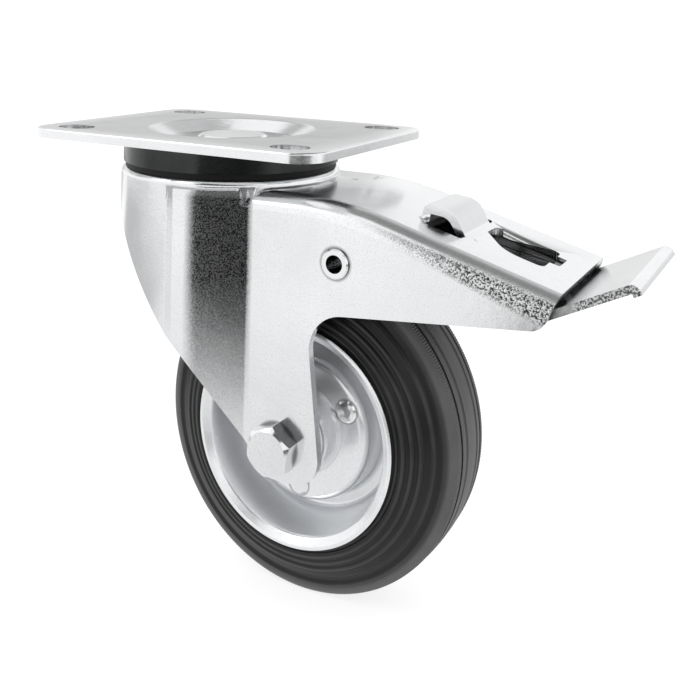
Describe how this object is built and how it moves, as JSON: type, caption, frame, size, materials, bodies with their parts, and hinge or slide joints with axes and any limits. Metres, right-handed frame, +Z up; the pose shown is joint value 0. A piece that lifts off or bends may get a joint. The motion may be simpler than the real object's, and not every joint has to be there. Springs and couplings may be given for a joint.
{
  "type": "swivel castor with brake",
  "caption": "Plate-mounted swivel castor: pressed sheet fork with a tapering horn, rubber-tyred steel wheel and a foot pedal that locks wheel and swivel together.",
  "frame": {"origin": "where the swivel axis meets the top face of the mounting plate, the centre of its bolt holes", "axes": "+Z up out of the plate, +X towards the horn and the pedal, along the plate's long side and at right angles to the axle; the axle lies along Y"},
  "size_m": [0.1889, 0.08, 0.137],
  "materials": {
    "plate_zinc": "bright zinc plate",
    "race_black": "dark glossy coat",
    "fork_zinc": "bright zinc plate",
    "fastener_zinc": "zinc plate",
    "bearing_steel": "polished",
    "hardened_steel": "plain",
    "seal_plastic": "matt",
    "cage_plastic": "matt",
    "rim_zinc": "blue zinc plate",
    "tyre_rubber": "matt black",
    "pedal_zinc": "bright zinc plate"
  },
  "bodies": {
    "plate": {"top_plate": "plate_zinc", "upper_cup": "race_black", "upper_balls": "bearing_steel", "king_pin": "fastener_zinc", "lower_cup": "hardened_steel", "lower_balls": "bearing_steel", "lock_ring": "hardened_steel", "king_nut": "fastener_zinc"},
    "fork": {"fork": "fork_zinc", "seal_ring": "seal_plastic", "cross_rivet": "fastener_zinc", "leaf_spring": "hardened_steel", "axle_bolt": "fastener_zinc", "axle_nut": "fastener_zinc", "axle_washers": "fastener_zinc", "axle_sleeve": "bearing_steel", "thrust_washers": "fastener_zinc"},
    "wheel": {"tyre": "tyre_rubber", "rim_near": "rim_zinc", "rim_far": "rim_zinc", "rim_rivets": "fastener_zinc", "hub_tube": "rim_zinc", "hub_caps": "rim_zinc", "rollers": "bearing_steel", "roller_cage": "cage_plastic"},
    "brake": {"brake_lever": "pedal_zinc", "pivot_sleeve": "fastener_zinc", "brake_shoe": "pedal_zinc"}
  },
  "joints": [
    {"name": "swivel", "type": "hinge", "parent": "plate", "child": "fork", "pos_m": [0, 0, 0], "axis": [0, 0, 1], "continuous": true},
    {"name": "wheel_spin", "type": "hinge", "parent": "fork", "child": "wheel", "pos_m": [0.0355, 0, -0.087], "axis": [0, 1, 0], "continuous": true},
    {"name": "brake", "type": "hinge", "parent": "fork", "child": "brake", "pos_m": [0.0537, 0, -0.0318], "axis": [0, 1, 0], "range_deg": [0, 10]}
  ]
}
